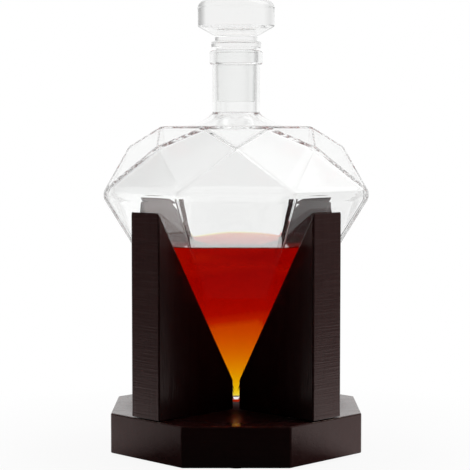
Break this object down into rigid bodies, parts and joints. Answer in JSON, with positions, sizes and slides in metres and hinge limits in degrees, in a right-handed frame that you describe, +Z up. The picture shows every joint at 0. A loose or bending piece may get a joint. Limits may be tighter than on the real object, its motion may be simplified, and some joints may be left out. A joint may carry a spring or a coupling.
{
  "type": "glass decanter on a wooden stand",
  "caption": "Diamond-shaped faceted glass decanter with a ground glass stopper, part filled with red liquor, held point down in a dark wood cradle of upright fins.",
  "frame": {"origin": "on the surface that the felt pads stand on, at the centre of the bounding box and under the decanter's point", "axes": "+Z up along the decanter's axis, front of the stand towards -Y"},
  "size_m": [0.1476, 0.1476, 0.2561],
  "materials": {
    "dark_wood": "near-black stain under satin lacquer",
    "black_felt": "pressed felt",
    "zinc_steel": "zinc plated",
    "clear_glass": "clear, polished, with a ground plug and seat",
    "red_liquor": "clear dark red liquid, amber where it is thin"
  },
  "bodies": {
    "stand": {"base_board": "dark_wood", "front_left_fin": "dark_wood", "front_right_fin": "dark_wood", "rear_right_fin": "dark_wood", "rear_left_fin": "dark_wood", "front_left_inner_screw": "zinc_steel", "front_left_outer_screw": "zinc_steel", "front_right_inner_screw": "zinc_steel", "front_right_outer_screw": "zinc_steel", "rear_right_inner_screw": "zinc_steel", "rear_right_outer_screw": "zinc_steel", "rear_left_inner_screw": "zinc_steel", "rear_left_outer_screw": "zinc_steel", "front_pad": "black_felt", "right_pad": "black_felt", "rear_pad": "black_felt", "left_pad": "black_felt"},
    "decanter": {"glass_vessel": "clear_glass", "liquor": "red_liquor"},
    "stopper": {"glass_stopper": "clear_glass"}
  },
  "joints": [
    {"name": "decanter_lift", "type": "slide", "parent": "stand", "child": "decanter", "axis": [0, 0, 1], "range_m": [0, 0.14]},
    {"name": "stopper_lift", "type": "slide", "parent": "decanter", "child": "stopper", "axis": [0, 0, 1], "range_m": [0, 0.05]}
  ]
}
